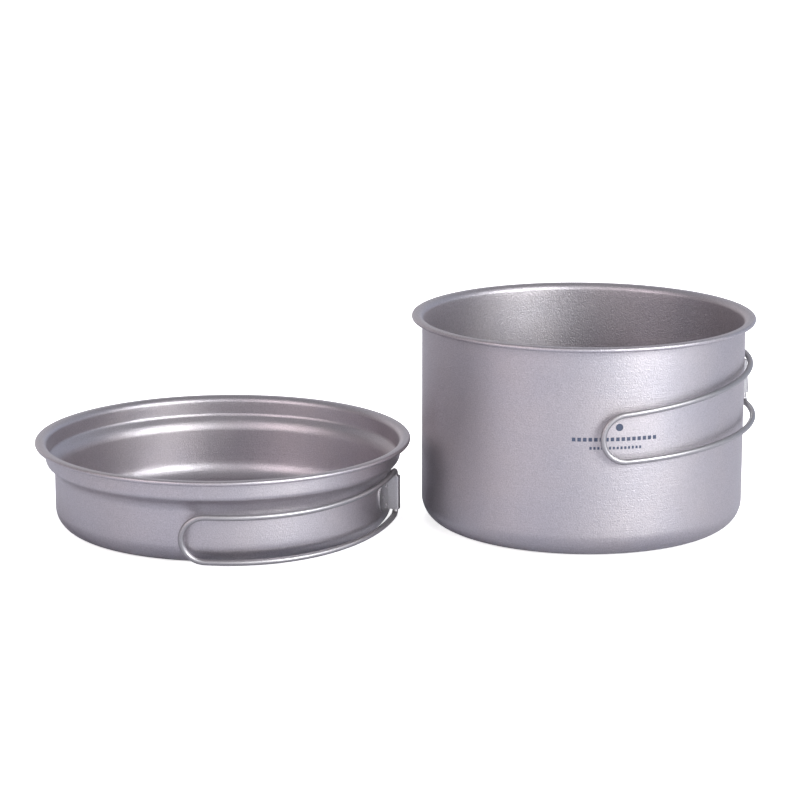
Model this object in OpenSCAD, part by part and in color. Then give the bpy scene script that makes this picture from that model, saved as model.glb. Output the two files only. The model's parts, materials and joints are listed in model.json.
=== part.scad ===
// Two-piece camping cookset: a deep pot and a shallow stepped pan that turns over to be its lid.
// Each vessel has one wire handle, which folds against the wall on a spot-welded bracket.
// Frame: origin at the middle of the pot's base, +Z up, the pan stands beside it towards -X.

/* [Pot] */
// Outside radius of the pot's wall
pot_wall_r = 67; // [55:0.5:80]
// Height of the pot, base to rim
pot_h = 87.2; // [80:0.2:110]
// Outside radius of the round edge at the pot's base
pot_corner_r = 10; // [6:0.5:14]
// Height of the middle of the pot's hinge
pot_hinge_z = 57.5; // [45:0.1:65]
// Angle of the pot's hinge round the wall, from +X
pot_hinge_angle = 10; // [-20:0.1:40]
// How far the top of the pot's hinge leans in towards the wall
pot_hinge_lean = 4.2; // [0:0.1:4.5]
// How far the pot's folded handle slopes down where it leaves the hinge
pot_handle_droop = 1.5; // [0:0.1:3]
// Half the distance between the pot handle's two wires, next to the hinge
pot_handle_half_root = 11.2; // [9.4:0.1:13]
// Distance along the wall from the pot's hinge to the start of the handle's round end
pot_handle_reach = 112; // [70:0.2:115]

/* [Pan] */
// Outside radius of the pan's lower wall
pan_wall_r = 70.1; // [68:0.1:73]
// Outside radius of the pan's upper wall, above the step
pan_upper_r = 73.8; // [73:0.1:77]
// Height of the pan, base to rim
pan_h = 36.4; // [35:0.2:45]
// Outside radius of the round edge at the pan's base
pan_corner_r = 8.5; // [5:0.5:10]
// Height of the foot of the pan's step, which seats on the pot's rim when the pan is its lid
pan_step_z = 24.3; // [24:0.1:27]
// Distance from the pot's axis to the pan's axis
pan_distance = 150; // [150:1:200]
// Height of the middle of the pan's hinge
pan_hinge_z = 16.1; // [15.8:0.1:16.5]
// Angle of the pan's hinge round the wall, from +X
pan_hinge_angle = -13.8; // [-25:0.1:0]
// How far the plate of the pan's bracket is turned on the wall
pan_bracket_roll = 4; // [0:0.1:6]
// How far the pan's folded handle slopes down where it leaves the hinge
pan_handle_droop = 6.8; // [0:0.1:7]
// How far the pan handle's upper wire leans out from the wall
pan_handle_twist = 3.9; // [0:0.1:4.5]
// Half the distance between the pan handle's two wires, next to the hinge
pan_handle_half_root = 9.35; // [9.3:0.05:9.6]
// Distance along the wall from the pan's hinge to the start of the handle's round end
pan_handle_reach = 103.4; // [70:0.2:105]

/* [Sheet and rims] */
// Thickness of the vessels' sheet
sheet = 0.5; // [0.4:0.05:0.8]
// Width of the rim, from the outside of the wall to the edge of its bead
rim_w = 4.3; // [4:0.1:6]
// Outside radius of the rolled bead at the edge of the rim
bead_r = 0.95; // [0.8:0.05:1.2]
// Inside radius of the curve from the wall out to the rim
flare_r = 2.2; // [1.5:0.1:2.5]

/* [Handles] */
// Diameter of the handle wire
wire_d = 2.4; // [2:0.1:2.6]
// Half the distance between the wires where the round end starts
handle_half_end = 9.6; // [9:0.1:9.8]
// Centre-line radius of the bend between the hinge pin and the wire
pin_bend_r = 2.2; // [2:0.05:2.2]
// How far the folded wire turns in towards the wall as it leaves the hinge, in degrees
toe_in = 2; // [1:0.1:2.5]
// Distance from the wall to the middle of the hinge pin
pin_offset = 3.2; // [3.1:0.1:3.5]
// Distance from the wall to the middle of the wire where the round end starts
end_offset = 3.1; // [2.8:0.1:3.5]

/* [Brackets] */
// Height of a bracket
bracket_h = 14; // [12:0.1:14]
// Width of a bracket, end to end
bracket_w = 26; // [24:0.5:30]
// Thickness of a bracket's sheet
bracket_t = 0.6; // [0.5:0.05:0.8]
// Diameter of a spot weld
weld_d = 1.7; // [1.2:0.1:2.2]

/* [Hidden] */
$fn = 96;

TITANIUM = "#a9a4a8";
BRACKET_GREY = "#9c999f";
WIRE_GREY = "#b9b6ba";

wire_r = wire_d / 2;
pin_clearance = 0.05;
pin_gap = 2;                                // between the two pins inside the knuckle
bore_r = wire_r + pin_clearance;
knuckle_r = bore_r + bracket_t;             // from the pin to the knuckle's outer face and to each flank
knuckle_edge_r = 0.9;
lead_in = 2;                                // of straight wire between the pin's bend and the curve along the wall
joint_gap = 0.05;                           // each wire stops this far short of a joint
joint_proud = 0.01;                         // how much larger a joint's ball is than the wire
slit_w = 1.4;                               // behind the pin, where the knuckle's sheet comes together
weld_places = [[5.2, 3.9], [8.8, 0.2], [5.5, -3.7]];   // across the plate from the hinge, and up
weld_proud = 0.15;
weld_depth = weld_proud + bracket_t + sheet / 2;
step_rise = pan_upper_r - pan_wall_r;
step_bend_r = 1;                            // inside radius of the bends at the foot and the top of the step
wall_lap = 0.01;                            // how far the pan's upper wall runs on into its rim, so that they fuse
curl_end = 0.25;                            // how far below the bead's middle the sheet's edge stops

// ---- Sheet profiles, drawn in the X-Z plane and revolved -------------------------------------

// Sheet bent about centre, from the angle start through the angle sweep, up to 90 degrees.
module bend(centre, outer_r, start, sweep) {
    reach = 2 * outer_r;
    translate(centre) rotate(start) intersection() {
        difference() {
            circle(r = outer_r);
            circle(r = outer_r - sheet);
        }
        polygon([[0, 0], [reach, 0], [reach, reach * tan(sweep / 2)], [reach * cos(sweep), reach * sin(sweep)]]);
    }
}

// How far from the corner a 45-degree bend of radius r starts.
function half_bend(r) = r * tan(22.5);

// The flare and the rolled bead that finish a wall of outside radius wall_r at height top.
module rim_profile(wall_r, top) {
    bend_outer = flare_r + sheet;
    bead_centre = [wall_r + rim_w - bead_r, top - bead_r];
    bend([wall_r + flare_r, top - bend_outer], bend_outer, 90, 90);
    translate([wall_r + flare_r, top - sheet]) square([bead_centre.x - wall_r - flare_r, sheet]);
    difference() {
        translate(bead_centre) circle(r = bead_r);
        translate(bead_centre) circle(r = bead_r - sheet);
        translate(bead_centre + [-bead_r, -curl_end]) square([bead_r, bead_r - sheet + curl_end]);
    }
}

// Base, round edge and straight wall, up to height wall_top.
module cup_profile(wall_r, corner_r, wall_top) {
    square([wall_r - corner_r, sheet]);
    bend([wall_r - corner_r, corner_r], corner_r, 270, 90);
    translate([wall_r - sheet, corner_r]) square([sheet, wall_top - corner_r]);
}

module pot_shell() {
    color(TITANIUM) rotate_extrude() {
        cup_profile(pot_wall_r, pot_corner_r, pot_h - flare_r - sheet);
        rim_profile(pot_wall_r, pot_h);
    }
}

// The pan's step, which slopes out at 45 degrees between two bends. Their centres are at foot_z and top_z.
module step_profile(foot_z, top_z) {
    slope = [cos(45), sin(45)];
    slope_start = [pan_wall_r, pan_step_z] + half_bend(step_bend_r) * slope;
    slope_end = [pan_upper_r, pan_step_z + step_rise] - half_bend(step_bend_r + sheet) * slope;
    bend([pan_wall_r + step_bend_r, foot_z], step_bend_r + sheet, 135, 45);
    translate(slope_start) rotate(45) square([norm(slope_end - slope_start), sheet]);
    bend([pan_upper_r - sheet - step_bend_r, top_z], step_bend_r + sheet, 315, 45);
}

module pan_shell() {
    foot_z = pan_step_z - half_bend(step_bend_r);
    top_z = pan_step_z + step_rise + half_bend(step_bend_r + sheet);
    color(TITANIUM) translate([-pan_distance, 0, 0]) rotate_extrude() {
        cup_profile(pan_wall_r, pan_corner_r, foot_z);
        step_profile(foot_z, top_z);
        translate([pan_upper_r - sheet, top_z]) square([sheet, pan_h - flare_r - sheet - top_z + wall_lap]);
        rim_profile(pan_upper_r, pan_h);
    }
}

// ---- Wire handle -----------------------------------------------------------------------------
// Drawn in the hinge's frame: the pin's axis is Z, +X points away from the vessel, and the folded
// handle runs towards -Y along the wall.

function unit(v) = v / norm(v);

// The direction at the end of an arc that leaves start along direction and ends at end.
function arc_end_direction(start, direction, end) =
    let (chord = unit(end - start))
    2 * (direction * chord) * chord - direction;

// A straight wire, whose ends stop just short so that a joint closes the gap.
module wire_line(start, end) {
    along = unit(end - start);
    side = unit(cross(abs(along.z) < 0.9 ? [0, 0, 1] : [1, 0, 0], along));
    up = cross(along, side);
    multmatrix([[side.x, up.x, along.x, start.x],
                [side.y, up.y, along.y, start.y],
                [side.z, up.z, along.z, start.z]])
        translate([0, 0, joint_gap]) cylinder(r = wire_r, h = norm(end - start) - 2 * joint_gap);
}

// A wire bent to the one circular arc that leaves start along direction and ends at end, less the two gaps.
module wire_arc(start, direction, end) {
    chord = end - start;
    along = chord * direction;
    inward = unit(chord - along * direction);
    across = chord * inward;
    radius = (chord * chord) / (2 * across);
    centre = start + radius * inward;
    normal = cross(-inward, direction);
    gap_angle = joint_gap / radius * 180 / PI;
    multmatrix([[-inward.x, direction.x, normal.x, centre.x],
                [-inward.y, direction.y, normal.y, centre.y],
                [-inward.z, direction.z, normal.z, centre.z]])
        rotate_extrude(angle = 2 * atan2(across, along) - 2 * gap_angle, start = gap_angle)
            translate([radius, 0]) circle(r = wire_r);
}

// Joins the wires that meet at a point.
module wire_joint(place) {
    translate(place) sphere(r = wire_r + joint_proud);
}

// Turns v with the handle's loop, which is bent down by droop and whose top leans out by twist.
function bent(v, droop, twist) =
    let (x = v.x * cos(twist) + v.z * sin(twist), z = v.z * cos(twist) - v.x * sin(twist))
    [x, v.y * cos(droop) - z * sin(droop), v.y * sin(droop) + z * cos(droop)];

// half_root is half the distance between the wires next to the hinge, and reach is how far they run along the wall.
module handle(wall_r, half_root, reach, droop, twist) {
    end_r = wall_r + end_offset;
    end_angle = reach / end_r * 180 / PI;
    end_place = [end_r * cos(end_angle) - wall_r - pin_offset, -end_r * sin(end_angle), 0];
    forward = bent([-sin(toe_in), -cos(toe_in), 0], droop, twist);
    leg_ends = [for (side = [1, -1]) bent(end_place + [0, 0, side * handle_half_end], droop, twist)];
    bend_starts = [for (side = [1, -1]) [0, 0, side * (half_root - pin_bend_r)]];
    bend_ends = [for (start = bend_starts)
        start + pin_bend_r * tan(acos(unit(start) * forward) / 2) * (unit(start) + forward)];
    leg_starts = [for (corner = bend_ends) corner + lead_in * forward];
    for (i = [0, 1]) {
        wire_line(bend_ends[i], leg_starts[i]);
        wire_line(pin_gap / 2 * unit(bend_starts[i]), bend_starts[i]);
        wire_arc(bend_starts[i], unit(bend_starts[i]), bend_ends[i]);
        wire_arc(leg_starts[i], forward, leg_ends[i]);
        for (place = [bend_starts[i], bend_ends[i], leg_starts[i], leg_ends[i]]) wire_joint(place);
    }
    wire_arc(leg_ends[0], arc_end_direction(leg_starts[0], forward, leg_ends[0]), leg_ends[1]);
}

// ---- Bracket ---------------------------------------------------------------------------------
// Drawn in the vessel's frame, turned and raised so that the middle of the hinge is on the X axis.

// Everything on the hinge's pin, such as the handle and the knuckle that it turns in.
module on_pin(wall_r, lean) {
    translate([wall_r + pin_offset, 0, 0]) rotate([0, -lean, 0]) children();
}

// The plate's outline across the wall, with round ends.
module plate_outline() {
    square([bracket_w - bracket_h, bracket_h], center = true);
    for (side = [-1, 1]) translate([side * (bracket_w - bracket_h) / 2, 0]) circle(d = bracket_h);
}

// The knuckle's outline seen along the pin, back to inside the wall, with a slit behind the pin.
module knuckle_profile() {
    back = pin_offset + 1;
    difference() {
        union() {
            translate([-back, -knuckle_r]) square([back + knuckle_r - knuckle_edge_r, 2 * knuckle_r]);
            translate([-back, knuckle_edge_r - knuckle_r])
                square([back + knuckle_r, 2 * (knuckle_r - knuckle_edge_r)]);
            for (side = [-1, 1])
                translate([knuckle_r - knuckle_edge_r, side * (knuckle_r - knuckle_edge_r)])
                    circle(r = knuckle_edge_r);
        }
        translate([-back, -slit_w / 2]) square([back, slit_w]);
        circle(r = bore_r);
    }
}

// roll turns the plate on the wall, and lean is the hinge's.
module bracket(wall_r, roll, lean) {
    difference() {
        union() {
            intersection() {
                cylinder(r = wall_r + bracket_t, h = 2 * bracket_h, center = true);
                rotate([roll, 0, 0]) rotate([90, 0, 90]) linear_extrude(wall_r + 2 * bracket_t) plate_outline();
            }
            on_pin(wall_r, lean) linear_extrude(bracket_h, center = true) knuckle_profile();
        }
        cylinder(r = wall_r, h = 3 * bracket_h, center = true);
    }
}

// Six spot welds, three on each side of the knuckle.
module spot_welds(wall_r, roll) {
    for (side = [-1, 1], weld = weld_places) {
        across = side * weld[0] * cos(roll) - weld[1] * sin(roll);
        up = side * weld[0] * sin(roll) + weld[1] * cos(roll);
        rotate([0, 0, across / wall_r * 180 / PI]) translate([wall_r + bracket_t + weld_proud - weld_depth, 0, up])
            rotate([0, 90, 0]) cylinder(d = weld_d, h = weld_depth);
    }
}

// ---- The pieces ------------------------------------------------------------------------------

module at_pot_hinge() {
    rotate([0, 0, pot_hinge_angle]) translate([0, 0, pot_hinge_z]) children();
}

module at_pan_hinge() {
    translate([-pan_distance, 0, pan_hinge_z]) rotate([0, 0, pan_hinge_angle]) children();
}

module pot_bracket() {
    color(BRACKET_GREY) at_pot_hinge() bracket(pot_wall_r, 0, pot_hinge_lean);
}

module pot_spot_welds() {
    color(WIRE_GREY) at_pot_hinge() spot_welds(pot_wall_r, 0);
}

module pot_handle() {
    color(WIRE_GREY) at_pot_hinge() on_pin(pot_wall_r, pot_hinge_lean)
        handle(pot_wall_r, pot_handle_half_root, pot_handle_reach, pot_handle_droop, 0);
}

module pan_bracket() {
    color(BRACKET_GREY) at_pan_hinge() bracket(pan_wall_r, pan_bracket_roll, 0);
}

module pan_spot_welds() {
    color(WIRE_GREY) at_pan_hinge() spot_welds(pan_wall_r, pan_bracket_roll);
}

module pan_handle() {
    color(WIRE_GREY) at_pan_hinge() on_pin(pan_wall_r, 0)
        handle(pan_wall_r, pan_handle_half_root, pan_handle_reach, pan_handle_droop, pan_handle_twist);
}

pot_shell();
pot_bracket();
pot_spot_welds();
pot_handle();
pan_shell();
pan_bracket();
pan_spot_welds();
pan_handle();
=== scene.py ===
"""Dresses a titanium camping cookset: a deep pot, a stepped pan that is also its lid, and wire handles.

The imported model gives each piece's place and size. The two vessels and the two wire handles are built
again here as fine meshes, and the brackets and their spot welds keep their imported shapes. The pan's step
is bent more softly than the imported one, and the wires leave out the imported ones' short straight at each
hinge. Lengths are in millimetres unless a line says otherwise, and a mesh is brought to metres when it
is finished.
"""

import json
import logging
import math
from dataclasses import dataclass, replace
from enum import Enum

import bmesh
import bpy
from mathutils import Matrix, Vector

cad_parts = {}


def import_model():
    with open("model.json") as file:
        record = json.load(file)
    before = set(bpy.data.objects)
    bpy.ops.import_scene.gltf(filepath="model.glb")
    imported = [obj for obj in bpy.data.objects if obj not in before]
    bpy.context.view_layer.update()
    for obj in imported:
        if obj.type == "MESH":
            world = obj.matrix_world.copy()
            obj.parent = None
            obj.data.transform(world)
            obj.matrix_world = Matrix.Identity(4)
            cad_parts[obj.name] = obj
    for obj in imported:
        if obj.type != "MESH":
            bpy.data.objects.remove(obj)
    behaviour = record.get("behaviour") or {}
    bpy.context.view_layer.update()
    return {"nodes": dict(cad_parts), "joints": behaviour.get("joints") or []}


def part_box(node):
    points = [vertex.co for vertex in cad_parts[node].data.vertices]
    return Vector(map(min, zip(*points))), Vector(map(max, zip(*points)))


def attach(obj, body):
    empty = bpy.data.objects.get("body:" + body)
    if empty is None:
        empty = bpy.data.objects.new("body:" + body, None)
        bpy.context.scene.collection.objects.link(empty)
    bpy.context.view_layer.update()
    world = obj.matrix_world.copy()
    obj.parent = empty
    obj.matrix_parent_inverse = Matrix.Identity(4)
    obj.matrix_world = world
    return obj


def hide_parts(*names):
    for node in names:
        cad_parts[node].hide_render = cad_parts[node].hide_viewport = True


LOG = logging.getLogger("cookset")
MM = 0.001
MERGE_DISTANCE = 0.0005
JUST_SHORT = 0.999  # keeps two bends that meet from closing the run between them
SHEET = 0.5
ORIGIN = (0.0, 0.0, 0.0)

Colour = tuple[float, float, float]
Place = tuple[float, float, float]


class Body(Enum):
    """The bodies that the pieces ride on."""

    POT = "pot"
    POT_HANDLE = "pot_handle"
    PAN = "pan"
    PAN_HANDLE = "pan_handle"


# ---- Finishes -------------------------------------------------------------------------------


class NodeBoard:
    """A node tree, with short ways to add and join its nodes."""

    def __init__(self, tree: bpy.types.NodeTree) -> None:
        """Takes a tree.

        Args:
            tree: The tree to add to.
        """
        self.tree = tree

    def add(self, kind: str, **values: object) -> bpy.types.Node:
        """Adds a node and sets its properties and inputs.

        Args:
            kind: The node's type name.
            values: Properties of the node, or values of its inputs by name with underscores for spaces.

        Returns:
            The new node.
        """
        node = self.tree.nodes.new(kind)
        for name, value in values.items():
            if hasattr(node, name):
                setattr(node, name, value)
            else:
                node.inputs[name.replace("_", " ")].default_value = value
        return node

    def join(self, start: bpy.types.NodeSocket, end: bpy.types.NodeSocket) -> None:
        """Joins an output socket to an input socket."""
        self.tree.links.new(start, end)

    def times(self, value: bpy.types.NodeSocket, factor: float) -> bpy.types.NodeSocket:
        """Multiplies a value.

        Args:
            value: The value.
            factor: What it is multiplied by.

        Returns:
            The product.
        """
        node = self.add("ShaderNodeMath", operation="MULTIPLY")
        node.inputs[1].default_value = factor
        self.join(value, node.inputs[0])
        return node.outputs["Value"]

    def mix(
        self, factor: bpy.types.NodeSocket, low: Colour | bpy.types.NodeSocket, high: Colour
    ) -> bpy.types.NodeSocket:
        """Mixes two colours.

        Args:
            factor: How much of the second colour there is.
            low: The first colour, fixed or from a socket.
            high: The second colour.

        Returns:
            The mixed colour.
        """
        node = self.add("ShaderNodeMix", data_type="RGBA", B=(*high, 1))
        if isinstance(low, tuple):
            node.inputs["A"].default_value = (*low, 1)
        else:
            self.join(low, node.inputs["A"])
        self.join(factor, node.inputs["Factor"])
        return node.outputs["Result"]


class MaterialBoard(NodeBoard):
    """The node tree of a new material whose shader is one Principled BSDF."""

    NOISE_MIDDLE = (0.3, 0.7)
    NOISE_ROUGHNESS = 0.6
    RELIEF = 0.0002

    def __init__(self, name: str) -> None:
        """Starts the material.

        Args:
            name: The material's name.
        """
        self.material = bpy.data.materials.new(name)
        self.material.use_nodes = True
        super().__init__(self.material.node_tree)
        self.shader = self.tree.nodes["Principled BSDF"]

    def grain(
        self, scale: float, detail: float, centre: Place = ORIGIN, stretch: Place = (1, 1, 1)
    ) -> bpy.types.NodeSocket:
        """Adds noise on the piece's own coordinates.

        Args:
            scale: How many features of the noise there are in a metre.
            detail: How many octaves the noise has.
            centre: Where the vessel's axis stands, in metres.
            stretch: How much finer the noise is along each axis.

        Returns:
            The noise's value.
        """
        place = self.add("ShaderNodeTexCoord")
        shift = -Vector(middle * finer for middle, finer in zip(centre, stretch))
        mapping = self.add("ShaderNodeMapping", Location=shift, Scale=stretch)
        noise = self.add("ShaderNodeTexNoise", Scale=scale, Detail=detail, Roughness=self.NOISE_ROUGHNESS)
        self.join(place.outputs["Object"], mapping.inputs["Vector"])
        self.join(mapping.outputs["Vector"], noise.inputs["Vector"])
        return noise.outputs["Fac"]

    def spread(self, value: bpy.types.NodeSocket, low: float, high: float) -> bpy.types.NodeSocket:
        """Spreads the middle of a noise, where most of its values lie, over a range.

        Args:
            value: The noise.
            low: What the middle's low end becomes.
            high: What its high end becomes.

        Returns:
            The spread value.
        """
        least, most = self.NOISE_MIDDLE
        node = self.add("ShaderNodeMapRange", From_Min=least, From_Max=most, To_Min=low, To_Max=high)
        self.join(value, node.inputs["Value"])
        return node.outputs["Result"]

    def bump(
        self, height: bpy.types.NodeSocket, depth: float, under: bpy.types.NodeSocket | None = None
    ) -> bpy.types.NodeSocket:
        """Raises the surface by a noise.

        Args:
            height: The noise.
            depth: How strongly it shows in the light.
            under: The normal of the relief that this one lies on.

        Returns:
            The normal.
        """
        node = self.add("ShaderNodeBump", Strength=depth, Distance=self.RELIEF)
        self.join(height, node.inputs["Height"])
        if under:
            self.join(under, node.inputs["Normal"])
        return node.outputs["Normal"]


@dataclass(frozen=True)
class Titanium:
    """Bare titanium, blasted or drawn, with grain, faint turning lines and clouds of warmer metal.

    Attributes:
        name: The material's name.
        cool: The metal's cooler colour.
        warm: The metal's warmer colour, in soft clouds.
        roughness: The lowest and highest roughness.
        grain_scale: How many grains there are in a metre.
        grain_depth: How strongly the grain shows in the light.
        lines_depth: How strongly the turning lines show in the light.
        centre: Where the vessel's axis stands, in metres.
        cloud_scale: How many clouds there are in a metre.
        lines_scale: How many turning lines there are in a metre of height.
        lines_stretch: How much finer the lines are along each axis, which draws them out round the wall.
        speck: The darkest and the lightest that a grain makes the colour.
    """

    name: str
    cool: Colour
    warm: Colour
    roughness: tuple[float, float]
    grain_scale: float = 1900.0
    grain_depth: float = 0.5
    lines_depth: float = 0.2
    centre: Place = ORIGIN
    cloud_scale: float = 28.0
    lines_scale: float = 2400.0
    lines_stretch: Place = (0.02, 0.02, 1.0)
    speck: tuple[float, float] = (0.85, 1.1)

    def material(self) -> bpy.types.Material:
        """Builds the material.

        Returns:
            The finished material.
        """
        board = MaterialBoard(self.name)
        clouds = board.grain(self.cloud_scale, 3, self.centre)
        grain = board.grain(self.grain_scale, 2, self.centre)
        lines = board.grain(self.lines_scale, 2, self.centre, stretch=self.lines_stretch)
        speck = board.add("ShaderNodeMix", data_type="RGBA", blend_type="MULTIPLY", Factor=1)
        board.join(board.mix(board.spread(clouds, 0, 1), self.cool, self.warm), speck.inputs["A"])
        board.join(board.spread(grain, *self.speck), speck.inputs["B"])
        board.join(speck.outputs["Result"], board.shader.inputs["Base Color"])
        board.join(board.spread(clouds, *self.roughness), board.shader.inputs["Roughness"])
        board.shader.inputs["Metallic"].default_value = 1
        relief = board.bump(lines, self.lines_depth, under=board.bump(grain, self.grain_depth))
        board.join(relief, board.shader.inputs["Normal"])
        return board.material


@dataclass(frozen=True)
class Ink:
    """A thin printed ink, a little uneven where the blasted metal shows through.

    Attributes:
        name: The material's name.
        colour: The ink's colour.
        worn_gain: How many times lighter it is where it is worn.
        worn_scale: How many worn spots there are in a metre.
        roughness: The lowest and highest roughness.
    """

    name: str = "printed_ink"
    colour: Colour = (0.028, 0.036, 0.062)
    worn_gain: float = 2.2
    worn_scale: float = 3500.0
    roughness: tuple[float, float] = (0.5, 0.7)

    def material(self) -> bpy.types.Material:
        """Builds the material.

        Returns:
            The finished material.
        """
        board = MaterialBoard(self.name)
        worn = board.grain(self.worn_scale, 2)
        paler = tuple(self.worn_gain * part for part in self.colour)
        tone = board.mix(board.spread(worn, 0, 1), self.colour, paler)
        board.join(tone, board.shader.inputs["Base Color"])
        board.join(board.spread(worn, *self.roughness), board.shader.inputs["Roughness"])
        return board.material


POT_OUTSIDE = Titanium(
    "pot_outside", cool=(0.5, 0.475, 0.511), warm=(0.524, 0.486, 0.506), roughness=(0.42, 0.5)
)
POT_INSIDE = replace(POT_OUTSIDE, name="pot_inside", grain_scale=1500.0, grain_depth=0.65, lines_depth=0.0)
PAN_OUTSIDE = replace(
    POT_OUTSIDE, name="pan_outside", roughness=(0.34, 0.42), centre=(-0.15, 0.0, 0.0)
)
PAN_INSIDE = replace(PAN_OUTSIDE, name="pan_inside", roughness=(0.38, 0.45))
WIRE_METAL = Titanium(
    "drawn_wire",
    cool=(0.4, 0.387, 0.403),
    warm=(0.43, 0.412, 0.424),
    roughness=(0.42, 0.5),
    grain_scale=3200,
    grain_depth=0.1,
    lines_depth=0.0,
)
BRACKET_METAL = Titanium(
    "pressed_bracket",
    cool=(0.44, 0.43, 0.445),
    warm=(0.47, 0.455, 0.465),
    roughness=(0.33, 0.42),
    grain_scale=3000,
    grain_depth=0.1,
    lines_depth=0.0,
)
WELD_METAL = Titanium(
    "spot_weld",
    cool=(0.56, 0.55, 0.56),
    warm=(0.62, 0.6, 0.6),
    roughness=(0.2, 0.3),
    grain_scale=4000,
    grain_depth=0.1,
    lines_depth=0.0,
)


# ---- Shared making --------------------------------------------------------------------------


def finished(
    shape: bmesh.types.BMesh, name: str, metal: bpy.types.Material, body: Body
) -> bpy.types.Object:
    """Turns a shape in millimetres into a piece that rides on a body.

    Args:
        shape: The shape, which is freed.
        name: The piece's name.
        metal: The piece's material.
        body: The body that it rides on.

    Returns:
        The piece, smooth-shaded, with its place in its mesh.
    """
    bmesh.ops.scale(shape, vec=(MM, MM, MM), verts=shape.verts)
    for face in shape.faces:
        face.smooth = True
    mesh = bpy.data.meshes.new(name)
    shape.to_mesh(mesh)
    shape.free()
    mesh.materials.append(metal)
    piece = bpy.data.objects.new(name, mesh)
    bpy.context.scene.collection.objects.link(piece)
    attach(piece, body.value)
    return piece


@dataclass(frozen=True)
class Corner:
    """A corner of a sheet's outside line.

    Attributes:
        radius: Its distance from the vessel's axis.
        height: Its height.
        bend: The radius that the sheet is bent to here, or 0 for an end.
        steps: How many flats the bend is made of.
    """

    radius: float
    height: float
    bend: float = 0.0
    steps: int = 8


# ---- Vessels --------------------------------------------------------------------------------


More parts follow.
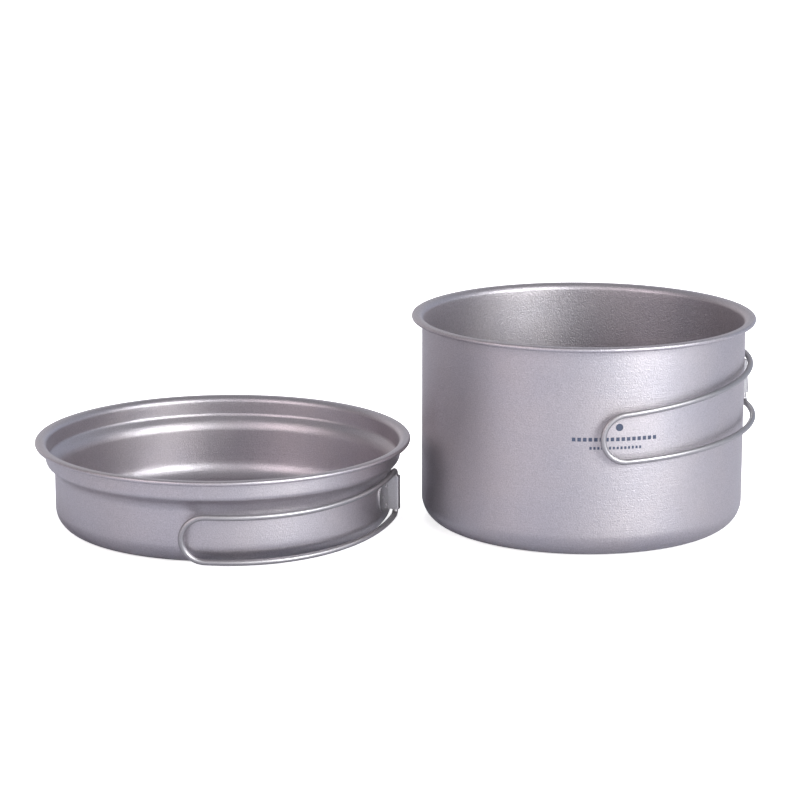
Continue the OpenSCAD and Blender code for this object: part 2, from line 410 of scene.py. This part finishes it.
@dataclass
class Vessel:
    """A thin vessel, drawn from sheet, with a flared rim that ends in a rolled bead.

    Attributes:
        name: The piece's name.
        body: The body that it rides on.
        node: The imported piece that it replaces, which gives its height, its width and its place.
        outside: The metal outside.
        inside: The metal inside.
        corner_r: The outside radius of the round edge at the base.
        step_z: The height of the foot of the 45 degree step in the wall.
        step_rise: How far the step goes out and up, or 0 for a straight wall.
        step_bends: The radius of the bends at the step's foot and top.
        rim_w: The rim's width, from the outside of the wall to the edge of its bead.
        bead_r: The outside radius of the bead.
        flare_r: The radius of the curve from the wall out to the rim.
        curl_end: How far the sheet's edge comes up inside the bead.
        base_steps: How many flats the round edge at the base is made of.
        step_steps: The same for the step's foot and top.
        flare_steps: The same for the flare.
        around: How many faces go round the vessel.
        longest_run: The longest face along a straight stretch of the outline.
    """

    name: str
    body: Body
    node: str
    outside: Titanium
    inside: Titanium
    corner_r: float
    step_z: float = 0.0
    step_rise: float = 0.0
    step_bends: tuple[float, float] = (6.0, 2.5)
    rim_w: float = 4.3
    bead_r: float = 0.95
    flare_r: float = 2.2
    curl_end: float = 0.2
    base_steps: int = 18
    step_steps: tuple[int, int] = (12, 10)
    flare_steps: int = 12
    around: int = 224
    longest_run: float = 3.0

    @property
    def centre_x(self) -> float:
        """Where the vessel's axis stands, to a tenth of a millimetre."""
        low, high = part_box(self.node)
        return round((low.x + high.x) / 2 / MM, 1)

    @property
    def height(self) -> float:
        """The vessel's height, to a tenth of a millimetre."""
        return round(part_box(self.node)[1].z / MM, 1)

    @property
    def upper_r(self) -> float:
        """The outside radius of the wall under the rim."""
        low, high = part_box(self.node)
        return round((high.x - low.x) / 2 / MM, 1) - self.rim_w

    @property
    def wall_r(self) -> float:
        """The outside radius of the wall below the step."""
        return self.upper_r - self.step_rise

    def step(self) -> list[Corner]:
        """The corners of the step, if the wall has one.

        Returns:
            The foot's corner and the top's, or nothing.
        """
        if not self.step_rise:
            return []
        foot, top = zip(self.step_bends, self.step_steps)
        return [
            Corner(self.wall_r, self.step_z, *foot),
            Corner(self.upper_r, self.step_z + self.step_rise, *top),
        ]

    def outline(self) -> list[Corner]:
        """The sheet's outside line, from the middle of the base to the inside of the bead.

        Returns:
            Its corners in order.
        """
        under = self.height - SHEET
        curl = self.bead_r - SHEET
        bead_x = self.upper_r + self.rim_w - self.bead_r
        bead_z = self.height - self.bead_r
        return [
            Corner(0, 0),
            Corner(self.wall_r, 0, self.corner_r, self.base_steps),
            *self.step(),
            Corner(self.upper_r, under, self.flare_r, self.flare_steps),
            Corner(bead_x + curl, under, curl),
            Corner(bead_x + curl, bead_z - curl, curl),
            Corner(bead_x - curl, bead_z - curl, curl),
            Corner(bead_x - curl, bead_z + self.curl_end),
        ]

    def draw_outline(self, shape: bmesh.types.BMesh) -> None:
        """Draws the outline as a chain of edges, with its bends rounded and its long runs divided.

        Args:
            shape: The mesh to draw in.
        """
        corners = self.outline()
        points = [Vector((corner.radius, 0, corner.height)) for corner in corners]
        chain = [shape.verts.new(point) for point in points]
        for start, end in zip(chain, chain[1:]):
            shape.edges.new((start, end))
        for index, corner in enumerate(corners):
            if not corner.bend:
                continue
            turn = (points[index] - points[index - 1]).angle(points[index + 1] - points[index])
            bmesh.ops.bevel(
                shape,
                geom=[chain[index]],
                offset=corner.bend * math.tan(turn / 2) * JUST_SHORT,
                offset_type="OFFSET",
                segments=corner.steps,
                profile=0.5,
                affect="VERTICES",
                material=-1,
            )
        for edge in list(shape.edges):
            cuts = int(edge.calc_length() / self.longest_run)
            if cuts:
                bmesh.ops.subdivide_edges(shape, edges=[edge], cuts=cuts)

    def build(self) -> bpy.types.Object:
        """Turns the outline about the vessel's axis and gives it the sheet's thickness.

        Returns:
            The vessel's piece.
        """
        shape = bmesh.new()
        self.draw_outline(shape)
        bmesh.ops.spin(
            shape,
            geom=shape.verts[:] + shape.edges[:],
            cent=(0, 0, 0),
            axis=(0, 0, 1),
            angle=math.tau,
            steps=self.around,
            use_merge=True,
        )
        bmesh.ops.remove_doubles(shape, verts=shape.verts, dist=MERGE_DISTANCE)
        base = min(shape.faces, key=lambda face: face.calc_center_median().z)
        bmesh.ops.recalc_face_normals(shape, faces=shape.faces)
        if base.normal.z > 0:
            bmesh.ops.reverse_faces(shape, faces=shape.faces)
        bmesh.ops.translate(shape, verts=shape.verts, vec=(self.centre_x, 0, 0))
        piece = finished(shape, self.name, self.outside.material(), self.body)
        piece.data.materials.append(self.inside.material())
        sheet = piece.modifiers.new("sheet", "SOLIDIFY")
        sheet.thickness = SHEET * MM
        sheet.offset = -1
        sheet.use_even_offset = True
        sheet.material_offset = 1
        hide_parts(self.node)
        return piece


# ---- Handles --------------------------------------------------------------------------------


@dataclass(frozen=True)
class Arc:
    """A circular arc that leaves a point along a direction and ends at another point."""

    start: Vector
    direction: Vector
    end: Vector

    @property
    def inward(self) -> Vector:
        """The direction from the start to the centre."""
        chord = self.end - self.start
        return (chord - self.direction * chord.dot(self.direction)).normalized()

    @property
    def centre(self) -> Vector:
        """The centre of the arc."""
        chord = self.end - self.start
        return self.start + self.inward * chord.length_squared / (2 * chord.dot(self.inward))

    @property
    def axis(self) -> Vector:
        """The axis that the arc turns about."""
        return (-self.inward).cross(self.direction)

    @property
    def angle(self) -> float:
        """How far the arc turns, in radians."""
        chord = self.end - self.start
        return 2 * math.atan2(chord.dot(self.inward), chord.dot(self.direction))

    @property
    def end_direction(self) -> Vector:
        """The direction at the arc's end."""
        chord = (self.end - self.start).normalized()
        return (2 * self.direction.dot(chord) * chord - self.direction).normalized()


@dataclass
class WireHandle:
    """A folding wire handle, drawn in its hinge's frame: the pin is Z, and the folded wire goes to -Y.

    Attributes:
        name: The piece's name.
        body: The body that it rides on.
        node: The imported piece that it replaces.
        joint: The hinge that it turns on, whose place and axis it takes.
        vessel: The vessel that it folds against.
        half_root: Half the distance between the two wires next to the hinge.
        reach: The distance along the wall from the hinge to the start of the round end.
        droop: How far the folded handle slopes down, in degrees.
        twist: How far its upper wire leans out from the wall, in degrees.
        wire_r: The wire's radius.
        half_end: Half the distance between the two wires where the round end starts.
        bend_r: The centre-line radius of the bend between a pin and its wire.
        toe_in: How far the wire turns in towards the wall as it leaves the hinge, in degrees.
        end_offset: The distance from the wall to the wire where the round end starts.
        pin_gap: The distance between the ends of the two pins.
        sides: How many faces go round the wire.
        steps: How many faces go along a radian of an arc.
        fewest_steps: The fewest faces along an arc.
    """

    name: str
    body: Body
    node: str
    joint: dict
    vessel: Vessel
    half_root: float
    reach: float
    droop: float = 0.0
    twist: float = 0.0
    wire_r: float = 1.2
    half_end: float = 9.6
    bend_r: float = 2.2
    toe_in: float = 2.0
    end_offset: float = 3.1
    pin_gap: float = 2.0
    sides: int = 24
    steps: int = 30
    fewest_steps: int = 8

    @property
    def pin(self) -> Vector:
        """The middle of the hinge's pin, from the foot of the vessel's axis."""
        return Vector(self.joint["pos_m"]) / MM - Vector((self.vessel.centre_x, 0, 0))

    @property
    def place(self) -> Matrix:
        """The turn and shift from the hinge's frame to the cookset's."""
        round_wall = math.atan2(self.pin.y, self.pin.x)
        lean = Vector(self.joint["axis"]).angle(Vector((0, 0, 1)))
        stand = Matrix.Translation(Vector(self.joint["pos_m"]) / MM)
        return stand @ Matrix.Rotation(round_wall, 4, "Z") @ Matrix.Rotation(-lean, 4, "Y")

    def run(self) -> list[Arc]:
        """The arcs of the wire between its two pins, from the upper pin to the lower.

        Returns:
            The arcs in order.
        """
        droop, twist = math.radians(self.droop), math.radians(self.twist)
        bent = Matrix.Rotation(droop, 3, "X") @ Matrix.Rotation(twist, 3, "Y")
        toe = math.radians(self.toe_in)
        end_r = self.vessel.wall_r + self.end_offset
        end_angle = self.reach / end_r
        end_x = end_r * math.cos(end_angle) - self.pin.xy.length
        forward = bent @ Vector((-math.sin(toe), -math.cos(toe), 0))
        bends, legs = [], []
        for side in (1, -1):
            along = Vector((0, 0, side))
            start = along * (self.half_root - self.bend_r)
            corner = start + self.bend_r * math.tan(along.angle(forward) / 2) * (along + forward)
            tip = bent @ Vector((end_x, -end_r * math.sin(end_angle), side * self.half_end))
            bends.append(Arc(start, along, corner))
            legs.append(Arc(corner, forward, tip))
        tip_arc = Arc(legs[0].end, legs[0].end_direction, legs[1].end)
        back = Arc(legs[1].end, -legs[1].end_direction, legs[1].start)
        last = Arc(bends[1].end, -bends[1].end_direction, bends[1].start)
        return [bends[0], legs[0], tip_arc, back, last]

    def build(self) -> bpy.types.Object:
        """Carries a ring of the wire along its run.

        Returns:
            The handle's piece.
        """
        shape = bmesh.new()
        run = self.run()
        pin_end = Vector((0, 0, self.pin_gap / 2))
        bmesh.ops.create_circle(
            shape, segments=self.sides, radius=self.wire_r, matrix=Matrix.Translation(pin_end)
        )
        first = shape.edges[:]
        edges = self.carry(shape, first, run[0].start - pin_end)
        for arc in run:
            steps = max(self.fewest_steps, int(arc.angle * self.steps))
            turned = bmesh.ops.spin(
                shape, geom=edges, cent=arc.centre, axis=arc.axis, angle=arc.angle, steps=steps
            )["geom_last"]
            edges = [part for part in turned if isinstance(part, bmesh.types.BMEdge)]
        edges = self.carry(shape, edges, -pin_end - run[-1].end)
        bmesh.ops.edgeloop_fill(shape, edges=first)
        bmesh.ops.edgeloop_fill(shape, edges=edges)
        bmesh.ops.recalc_face_normals(shape, faces=shape.faces)
        bmesh.ops.transform(shape, matrix=self.place, verts=shape.verts)
        piece = finished(shape, self.name, WIRE_METAL.material(), self.body)
        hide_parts(self.node)
        return piece

    @staticmethod
    def carry(
        shape: bmesh.types.BMesh, edges: list[bmesh.types.BMEdge], way: Vector
    ) -> list[bmesh.types.BMEdge]:
        """Draws a ring straight on.

        Args:
            shape: The mesh.
            edges: The ring's edges.
            way: How far it goes.

        Returns:
            The edges of the ring at the far end.
        """
        drawn = bmesh.ops.extrude_edge_only(shape, edges=edges)["geom"]
        verts = [part for part in drawn if isinstance(part, bmesh.types.BMVert)]
        bmesh.ops.translate(shape, verts=verts, vec=way)
        rings = [part for part in drawn if isinstance(part, bmesh.types.BMEdge)]
        return [edge for edge in rings if all(vert in verts for vert in edge.verts)]


# ---- Print ----------------------------------------------------------------------------------


@dataclass(frozen=True)
class DashRow:
    """A level row of dashes round the wall.

    Attributes:
        start: The angle round the wall where it starts, in degrees.
        end: The angle that it doesn't pass, in degrees.
        height: The height of its middle.
        tall: A dash's height.
        wide: A dash's width.
        gap: The gap between two dashes.
    """

    start: float
    end: float
    height: float
    tall: float
    wide: float
    gap: float


@dataclass
class PrintedMark:
    """A plain mark in ink on the pot's wall: two rows of dashes under a round dot.

    Attributes:
        vessel: The vessel that it is printed on.
        proud: How far it stands off the wall.
        rows: The rows of dashes.
        dot_angle: The dot's place round the wall, in degrees.
        dot_z: The dot's height.
        dot_r: The dot's radius.
        dot_sides: How many sides the dot has.
    """

    vessel: Vessel
    proud: float = 0.03
    rows: tuple[DashRow, ...] = (
        DashRow(start=-99.2, end=-68.2, height=49.5, tall=1.55, wide=1.45, gap=0.75),
        DashRow(start=-93.2, end=-74.0, height=46.0, tall=1.1, wide=0.9, gap=0.65),
    )
    dot_angle: float = -83.0
    dot_z: float = 54.3
    dot_r: float = 1.5
    dot_sides: int = 24

    def build(self) -> bpy.types.Object:
        """Draws the dashes and the dot flat, and bends them round the wall.

        Returns:
            The mark's piece.
        """
        shape = bmesh.new()
        wall_r = self.vessel.wall_r
        for row in self.rows:
            along = math.radians(row.start) * wall_r
            while along + row.wide <= math.radians(row.end) * wall_r:
                self.dash(shape, along + row.wide / 2, row)
                along += row.wide + row.gap
        dot = self.upright(math.radians(self.dot_angle) * wall_r, self.dot_z)
        bmesh.ops.create_circle(
            shape, cap_ends=True, segments=self.dot_sides, radius=self.dot_r, matrix=dot
        )
        for vert in shape.verts:
            angle, height = vert.co.x / wall_r, vert.co.z
            radius = wall_r + self.proud
            vert.co = Vector((radius * math.cos(angle), radius * math.sin(angle), height))
        piece = finished(shape, "printed_mark", Ink().material(), self.vessel.body)
        return piece

    @staticmethod
    def upright(along: float, height: float) -> Matrix:
        """Stands a flat shape up before it is bent.

        Args:
            along: Its middle, as a length round the wall.
            height: Its middle, above the base.

        Returns:
            The turn and shift.
        """
        return Matrix.Translation((along, 0, height)) @ Matrix.Rotation(math.pi / 2, 4, "X")

    def dash(self, shape: bmesh.types.BMesh, along: float, row: DashRow) -> None:
        """Adds one dash before it is bent.

        Args:
            shape: The mesh to add to.
            along: The dash's middle, as a length round the wall.
            row: The row that it is in.
        """
        grown = self.upright(along, row.height) @ Matrix.Diagonal((row.wide / 2, row.tall / 2, 1, 1))
        bmesh.ops.create_grid(shape, x_segments=4, y_segments=2, size=1, matrix=grown)


# ---- The set and its studio -----------------------------------------------------------------


@dataclass
class Cookset:
    """The pot and the pan with their handles, brackets and spot welds.

    Attributes:
        nodes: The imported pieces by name.
        joints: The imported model's joints.
    """

    nodes: dict[str, bpy.types.Object]
    joints: list[dict]

    def joint(self, name: str) -> dict:
        """The joint of a name."""
        return next(joint for joint in self.joints if joint["name"] == name)

    def parts(self) -> list[Vessel | WireHandle | PrintedMark]:
        """The parts that are built here.

        Returns:
            The vessels, their handles and the mark.
        """
        pot = Vessel("pot", Body.POT, "pot_shell", POT_OUTSIDE, POT_INSIDE, corner_r=10.0)
        pan = Vessel(
            "pan", Body.PAN, "pan_shell", PAN_OUTSIDE, PAN_INSIDE, corner_r=8.5, step_z=24.3, step_rise=3.7
        )
        pot_handle = WireHandle(
            "pot_wire_handle",
            Body.POT_HANDLE,
            "pot_handle",
            self.joint("pot_handle_fold"),
            pot,
            half_root=11.2,
            reach=112.0,
            droop=1.5,
        )
        pan_handle = WireHandle(
            "pan_wire_handle",
            Body.PAN_HANDLE,
            "pan_handle",
            self.joint("pan_handle_fold"),
            pan,
            half_root=9.35,
            reach=103.4,
            droop=6.8,
            twist=3.9,
        )
        return [pot, pan, pot_handle, pan_handle, PrintedMark(pot)]

    def dress_packed(self) -> None:
        """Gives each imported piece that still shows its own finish."""
        for metal, names in (
            (BRACKET_METAL, ("pot_bracket", "pan_bracket")),
            (WELD_METAL, ("pot_spot_welds", "pan_spot_welds")),
        ):
            material = metal.material()
            for name in names:
                self.nodes[name].data.materials.clear()
                self.nodes[name].data.materials.append(material)
                LOG.info("%s: packed shape, %s", name, metal.name)

    def build(self) -> None:
        """Builds every piece and reports it."""
        self.dress_packed()
        for part in self.parts():
            piece = part.build()
            LOG.info("%s: %d faces", piece.name, len(piece.data.polygons))


@dataclass(frozen=True)
class Lamp:
    """A soft lamp that faces the cookset.

    Attributes:
        name: Its name.
        place: Where it hangs, in metres.
        size: Its width and height, in metres.
        power: Its power, in watts.
        colour: The colour of its light.
        mirrored: Whether the metal reflects it.
    """

    name: str
    place: tuple[float, float, float]
    size: tuple[float, float]
    power: float
    colour: Colour = (1, 1, 1)
    mirrored: bool = True

    def hang(self, target: Vector) -> None:
        """Hangs the lamp.

        Args:
            target: The point that it faces, in metres.
        """
        light = bpy.data.lights.new(self.name, "AREA")
        light.shape = "RECTANGLE"
        light.size, light.size_y = self.size
        light.energy = self.power
        light.color = self.colour
        lamp = bpy.data.objects.new(self.name, light)
        lamp.location = self.place
        lamp.visible_glossy = self.mirrored
        lamp.rotation_euler = (target - Vector(self.place)).to_track_quat("-Z", "Y").to_euler()
        bpy.context.scene.collection.objects.link(lamp)


@dataclass
class Studio:
    """A pale floor, soft light from all round and a long lens. Its lengths are in metres.

    Attributes:
        eye: Where the camera stands.
        yaw: How far the camera turns to the right of +Y, in degrees.
        pitch: How far it looks down, in degrees.
        lens: Its focal length, in millimetres.
        aim: The point that the lamps face.
        lamps: The lamps.
        frame_width: The width of the camera's frame, in millimetres.
        floor_half: Half the floor's width.
        floor_drop: How far the floor lies under the cookset, so that the two don't meet.
        floor_glow: How much the floor brightens towards the camera.
        strength: How bright the room is.
        ceiling_tone: The colour of the room's top.
        backdrop_tone: The colour of the room where the camera sees it.
        ceiling_starts: The height, as a share of straight up, from which the top's colour blends in.
        ceiling_full: The height from which nothing but the top's colour is left.
        wall_tones: The colour of the room's wall at angles from the front, where 90 is the right, in degrees.
    """

    eye: tuple[float, float, float] = (-0.1210, -1.17695, 0.3205)
    yaw: float = 2.18
    pitch: float = 12.89
    lens: float = 130.41
    aim: tuple[float, float, float] = (-0.075, 0, 0.04)
    lamps: tuple[Lamp, ...] = (
        Lamp("key", (0.75, -0.93, 0.52), (0.62, 0.6), 16, colour=(0.975, 1, 0.99)),
        Lamp("fill", (-0.95, -0.76, 0.6), (0.45, 0.6), 3.2, colour=(1, 0.88, 0.9)),
        Lamp("top", (0.1, 0.3, 1.7), (1.4, 1.4), 25, mirrored=False),
    )
    frame_width: float = 36.0
    floor_half: float = 6.0
    floor_drop: float = 0.0002
    floor_glow: float = 0.75
    strength: float = 1.3
    ceiling_tone: Colour = (0.28, 0.28, 0.3)
    backdrop_tone: Colour = (0.82, 0.82, 0.82)
    ceiling_starts: float = 0.25
    ceiling_full: float = 0.8
    wall_tones: tuple[tuple[float, Colour], ...] = (
        (-180, (0.6, 0.6, 0.64)),
        (-150, (0.82, 0.8, 0.82)),
        (-108, (0.21, 0.185, 0.19)),
        (-80, (0.3, 0.28, 0.285)),
        (-48, (0.84, 0.79, 0.82)),
        (0, (0.84, 0.84, 0.88)),
        (38, (0.85, 0.88, 0.91)),
        (72, (0.55, 0.59, 0.66)),
        (102, (0.32, 0.35, 0.42)),
        (136, (0.46, 0.51, 0.62)),
        (180, (0.6, 0.6, 0.64)),
    )

    def camera(self) -> None:
        """Stands the camera and makes it the scene's."""
        lens = bpy.data.cameras.new("camera")
        lens.lens = self.lens
        lens.sensor_width = self.frame_width
        lens.clip_end = 20
        camera = bpy.data.objects.new("camera", lens)
        yaw, pitch = math.radians(self.yaw), math.radians(self.pitch)
        ahead = Vector((math.sin(yaw) * math.cos(pitch), math.cos(yaw) * math.cos(pitch), -math.sin(pitch)))
        camera.location = self.eye
        camera.rotation_euler = ahead.to_track_quat("-Z", "Y").to_euler()
        bpy.context.scene.collection.objects.link(camera)
        bpy.context.scene.camera = camera

    def floor_material(self) -> bpy.types.Material:
        """Makes the floor's material, which the metal mirrors darker and bluer than it is.

        Returns:
            The material.
        """
        board = MaterialBoard("pale_floor")
        board.shader.inputs["Roughness"].default_value = 0.9
        board.shader.inputs["Emission Color"].default_value = (1, 1, 1, 1)
        seen = board.add("ShaderNodeLightPath")
        tone = board.mix(seen.outputs["Is Glossy Ray"], (0.97, 0.97, 0.97), (0.5, 0.51, 0.56))
        board.join(tone, board.shader.inputs["Base Color"])
        glow = board.times(seen.outputs["Is Camera Ray"], self.floor_glow)
        board.join(glow, board.shader.inputs["Emission Strength"])
        return board.material

    def floor(self) -> None:
        """Lays the floor, a hair under the cookset."""
        shape = bmesh.new()
        bmesh.ops.create_grid(shape, x_segments=1, y_segments=1, size=self.floor_half)
        mesh = bpy.data.meshes.new("floor")
        shape.to_mesh(mesh)
        shape.free()
        mesh.materials.append(self.floor_material())
        floor = bpy.data.objects.new("floor", mesh)
        floor.location.z = -self.floor_drop
        bpy.context.scene.collection.objects.link(floor)

    def wall(self, board: NodeBoard, parts: bpy.types.Node) -> bpy.types.NodeSocket:
        """Colours the room's wall by the angle round it.

        Args:
            board: The world's board.
            parts: The node that splits a direction into its parts.

        Returns:
            The wall's colour.
        """
        front = board.times(parts.outputs["Y"], -1)
        angle = board.add("ShaderNodeMath", operation="ARCTAN2")
        board.join(parts.outputs["X"], angle.inputs[0])
        board.join(front, angle.inputs[1])
        share = board.add("ShaderNodeMapRange", From_Min=-math.pi, From_Max=math.pi)
        board.join(angle.outputs["Value"], share.inputs["Value"])
        ramp = board.add("ShaderNodeValToRGB")
        ramp.color_ramp.interpolation = "EASE"
        stops = ramp.color_ramp.elements
        while len(stops) < len(self.wall_tones):
            stops.new(0.5)
        for stop, (degrees, tone) in zip(stops, self.wall_tones):
            stop.position = (degrees + 180) / 360
            stop.color = (*tone, 1)
        board.join(share.outputs["Result"], ramp.inputs["Fac"])
        return ramp.outputs["Color"]

    def room(self) -> None:
        """Lights the room from all round, bright in front and dim on the left and the right."""
        world = bpy.data.worlds.new("studio")
        world.use_nodes = True
        bpy.context.scene.world = world
        board = NodeBoard(world.node_tree)
        place = board.add("ShaderNodeTexCoord")
        parts = board.add("ShaderNodeSeparateXYZ")
        board.join(place.outputs["Generated"], parts.inputs["Vector"])
        ceiling = board.add(
            "ShaderNodeMapRange", From_Min=self.ceiling_starts, From_Max=self.ceiling_full
        )
        board.join(parts.outputs["Z"], ceiling.inputs["Value"])
        lit = board.mix(ceiling.outputs["Result"], self.wall(board, parts), self.ceiling_tone)
        seen = board.add("ShaderNodeLightPath")
        shown = board.mix(seen.outputs["Is Camera Ray"], lit, self.backdrop_tone)
        background = world.node_tree.nodes["Background"]
        board.join(shown, background.inputs["Color"])
        background.inputs["Strength"].default_value = self.strength

    def build(self) -> None:
        """Sets up the whole studio."""
        self.camera()
        self.floor()
        self.room()
        for lamp in self.lamps:
            lamp.hang(Vector(self.aim))
        bpy.context.scene.view_settings.view_transform = "Standard"


def main() -> None:
    """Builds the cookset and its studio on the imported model."""
    logging.basicConfig(level=logging.INFO, format="%(name)s: %(message)s")
    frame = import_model()
    Cookset(frame["nodes"], frame["joints"]).build()
    Studio().build()


if __name__ == "__main__":
    main()
